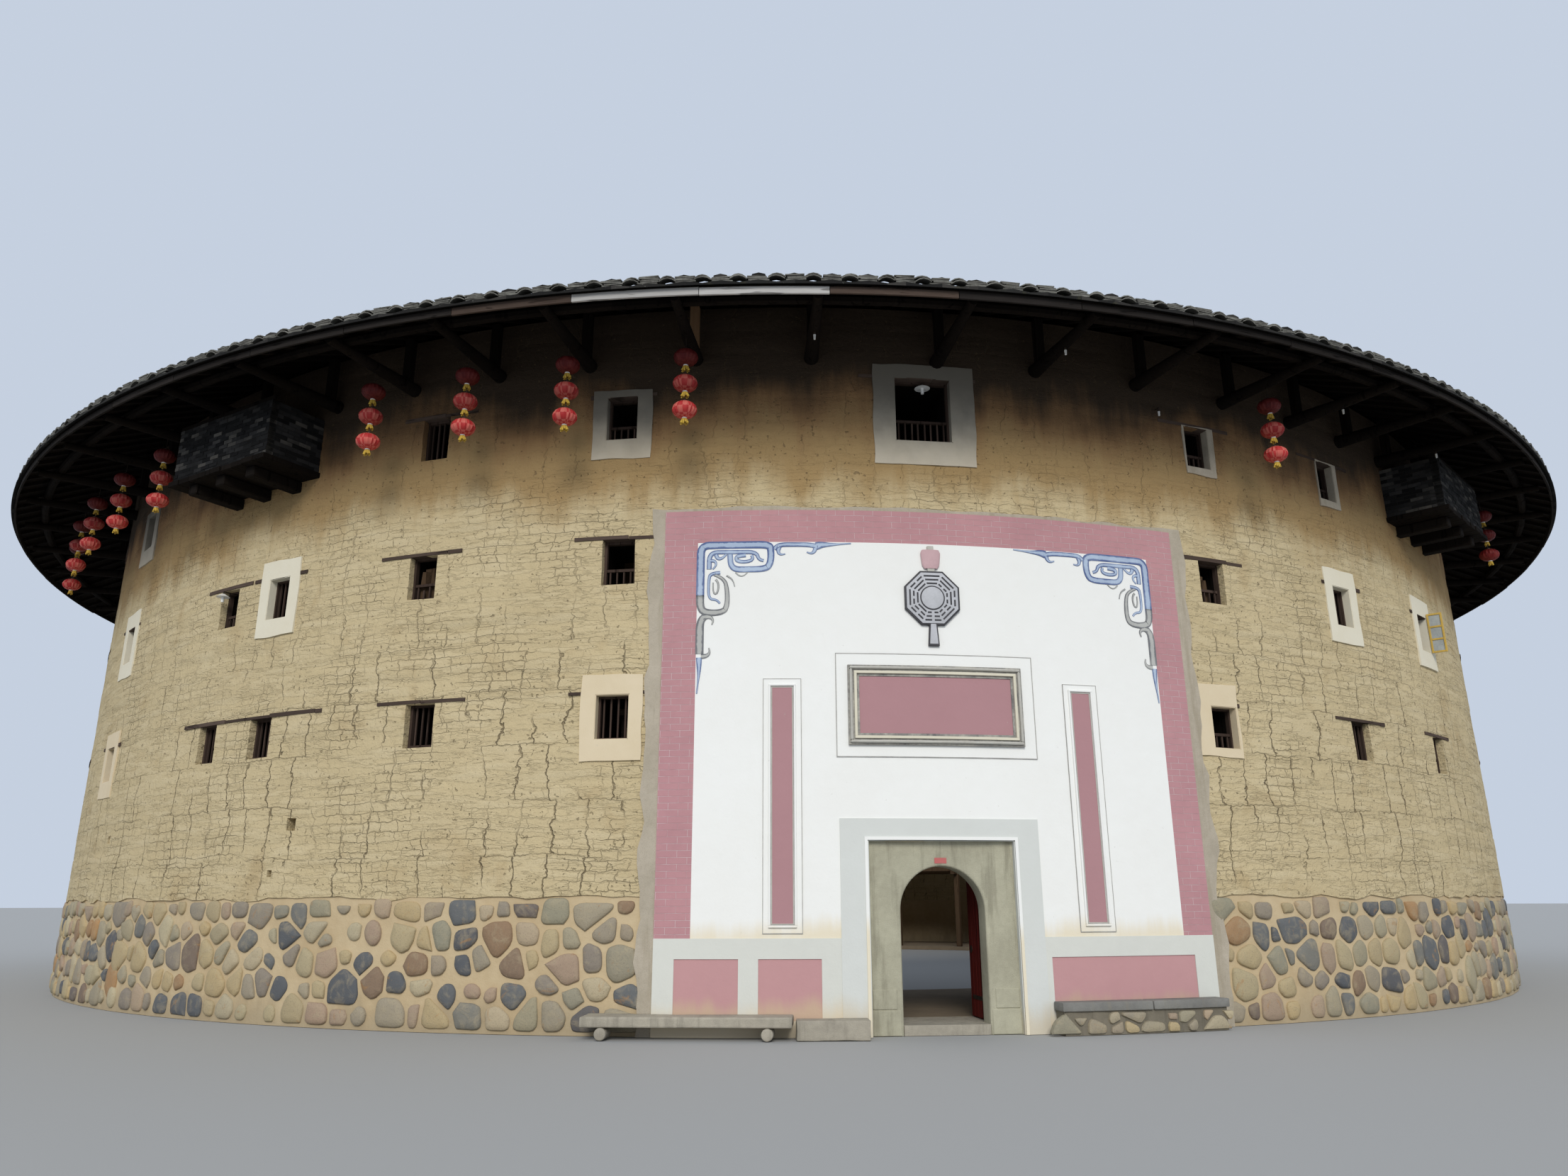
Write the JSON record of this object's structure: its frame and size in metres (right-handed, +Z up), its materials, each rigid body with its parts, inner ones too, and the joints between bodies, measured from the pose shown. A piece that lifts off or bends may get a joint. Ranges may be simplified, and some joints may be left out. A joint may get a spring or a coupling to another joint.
{
  "type": "round earth house, 1:2 scale model",
  "caption": "Round earth-walled house of four storeys at 1:2 scale, hollow round an open courtyard, with a tiled gable-ring roof, an arched doorway and two hinged door leaves.",
  "frame": {"origin": "centre of the footprint, on the ground", "axes": "+Z up, and -Y out through the doorway"},
  "size_m": [21.4124, 21.44, 6.7904],
  "materials": {
    "earth": "rammed earth, matt, with lift lines",
    "cobble": "river cobbles in yellow earth mortar",
    "plaster": "limewashed plaster",
    "pink_plaster": "pink limewash with thin pale joints",
    "emblem_paint": "grey painted relief",
    "granite": "tooled granite",
    "timber": "dark weathered softwood",
    "door_timber": "dark red painted boards",
    "floor_boards": "plain boards",
    "packed_earth": "beaten earth",
    "grey_brick": "thin grey bricks with pale joints",
    "roof_tile": "unglazed grey tiles",
    "lantern_red": "red gauze over ribs",
    "tassel_yellow": "yellow fringe",
    "lamp_white": "white lamp tubes and wires",
    "white_lime": "whitewashed window surrounds",
    "blue_paint": "blue-grey painted scrolls",
    "yellow_frame": "varnished window frame"
  },
  "bodies": {
    "house": {"wall_over_door": "earth", "wall_front_left": "earth", "wall_front_right": "earth", "wall_left": "earth", "wall_right": "earth", "wall_back": "earth", "door_pier_left": "cobble", "door_pier_right": "cobble", "plinth_front_left": "cobble", "plinth_front_right": "cobble", "plinth_left": "cobble", "plinth_right": "cobble", "plinth_back": "cobble", "cobble_seat": "cobble", "plaster_front": "plaster", "name_plaque": "pink_plaster", "verse_panel_left": "pink_plaster", "verse_panel_right": "pink_plaster", "octagon_emblem": "emblem_paint", "door_frame": "granite", "door_sill": "granite", "bench_slab": "granite", "bench_roller_left": "granite", "bench_roller_right": "granite", "granite_block": "granite", "gallery_front": "timber", "gallery_right": "timber", "gallery_back": "timber", "gallery_left": "timber", "eave_frame_front": "timber", "eave_frame_right": "timber", "eave_frame_back": "timber", "eave_frame_left": "timber", "bay_floor_left": "timber", "bay_floor_right": "timber", "second_floor": "floor_boards", "third_floor": "floor_boards", "fourth_floor": "floor_boards", "ground_floor": "packed_earth", "bay_walls_left": "grey_brick", "bay_walls_right": "grey_brick", "roof_outer_front": "roof_tile", "roof_outer_right": "roof_tile", "roof_outer_back": "roof_tile", "roof_outer_left": "roof_tile", "roof_inner_front": "roof_tile", "roof_inner_right": "roof_tile", "roof_inner_back": "roof_tile", "roof_inner_left": "roof_tile"},
    "left_leaf": {"door_leaf_left": "door_timber"},
    "right_leaf": {"door_leaf_right": "door_timber"}
  },
  "joints": [
    {"name": "left_leaf_hinge", "type": "hinge", "parent": "house", "child": "left_leaf", "pos_m": [-0.36, -9.265, 0.65], "axis": [0, 0, 1], "range_deg": [-90, 0]},
    {"name": "right_leaf_hinge", "type": "hinge", "parent": "house", "child": "right_leaf", "pos_m": [0.36, -9.265, 0.65], "axis": [0, 0, 1], "range_deg": [0, 90]}
  ]
}
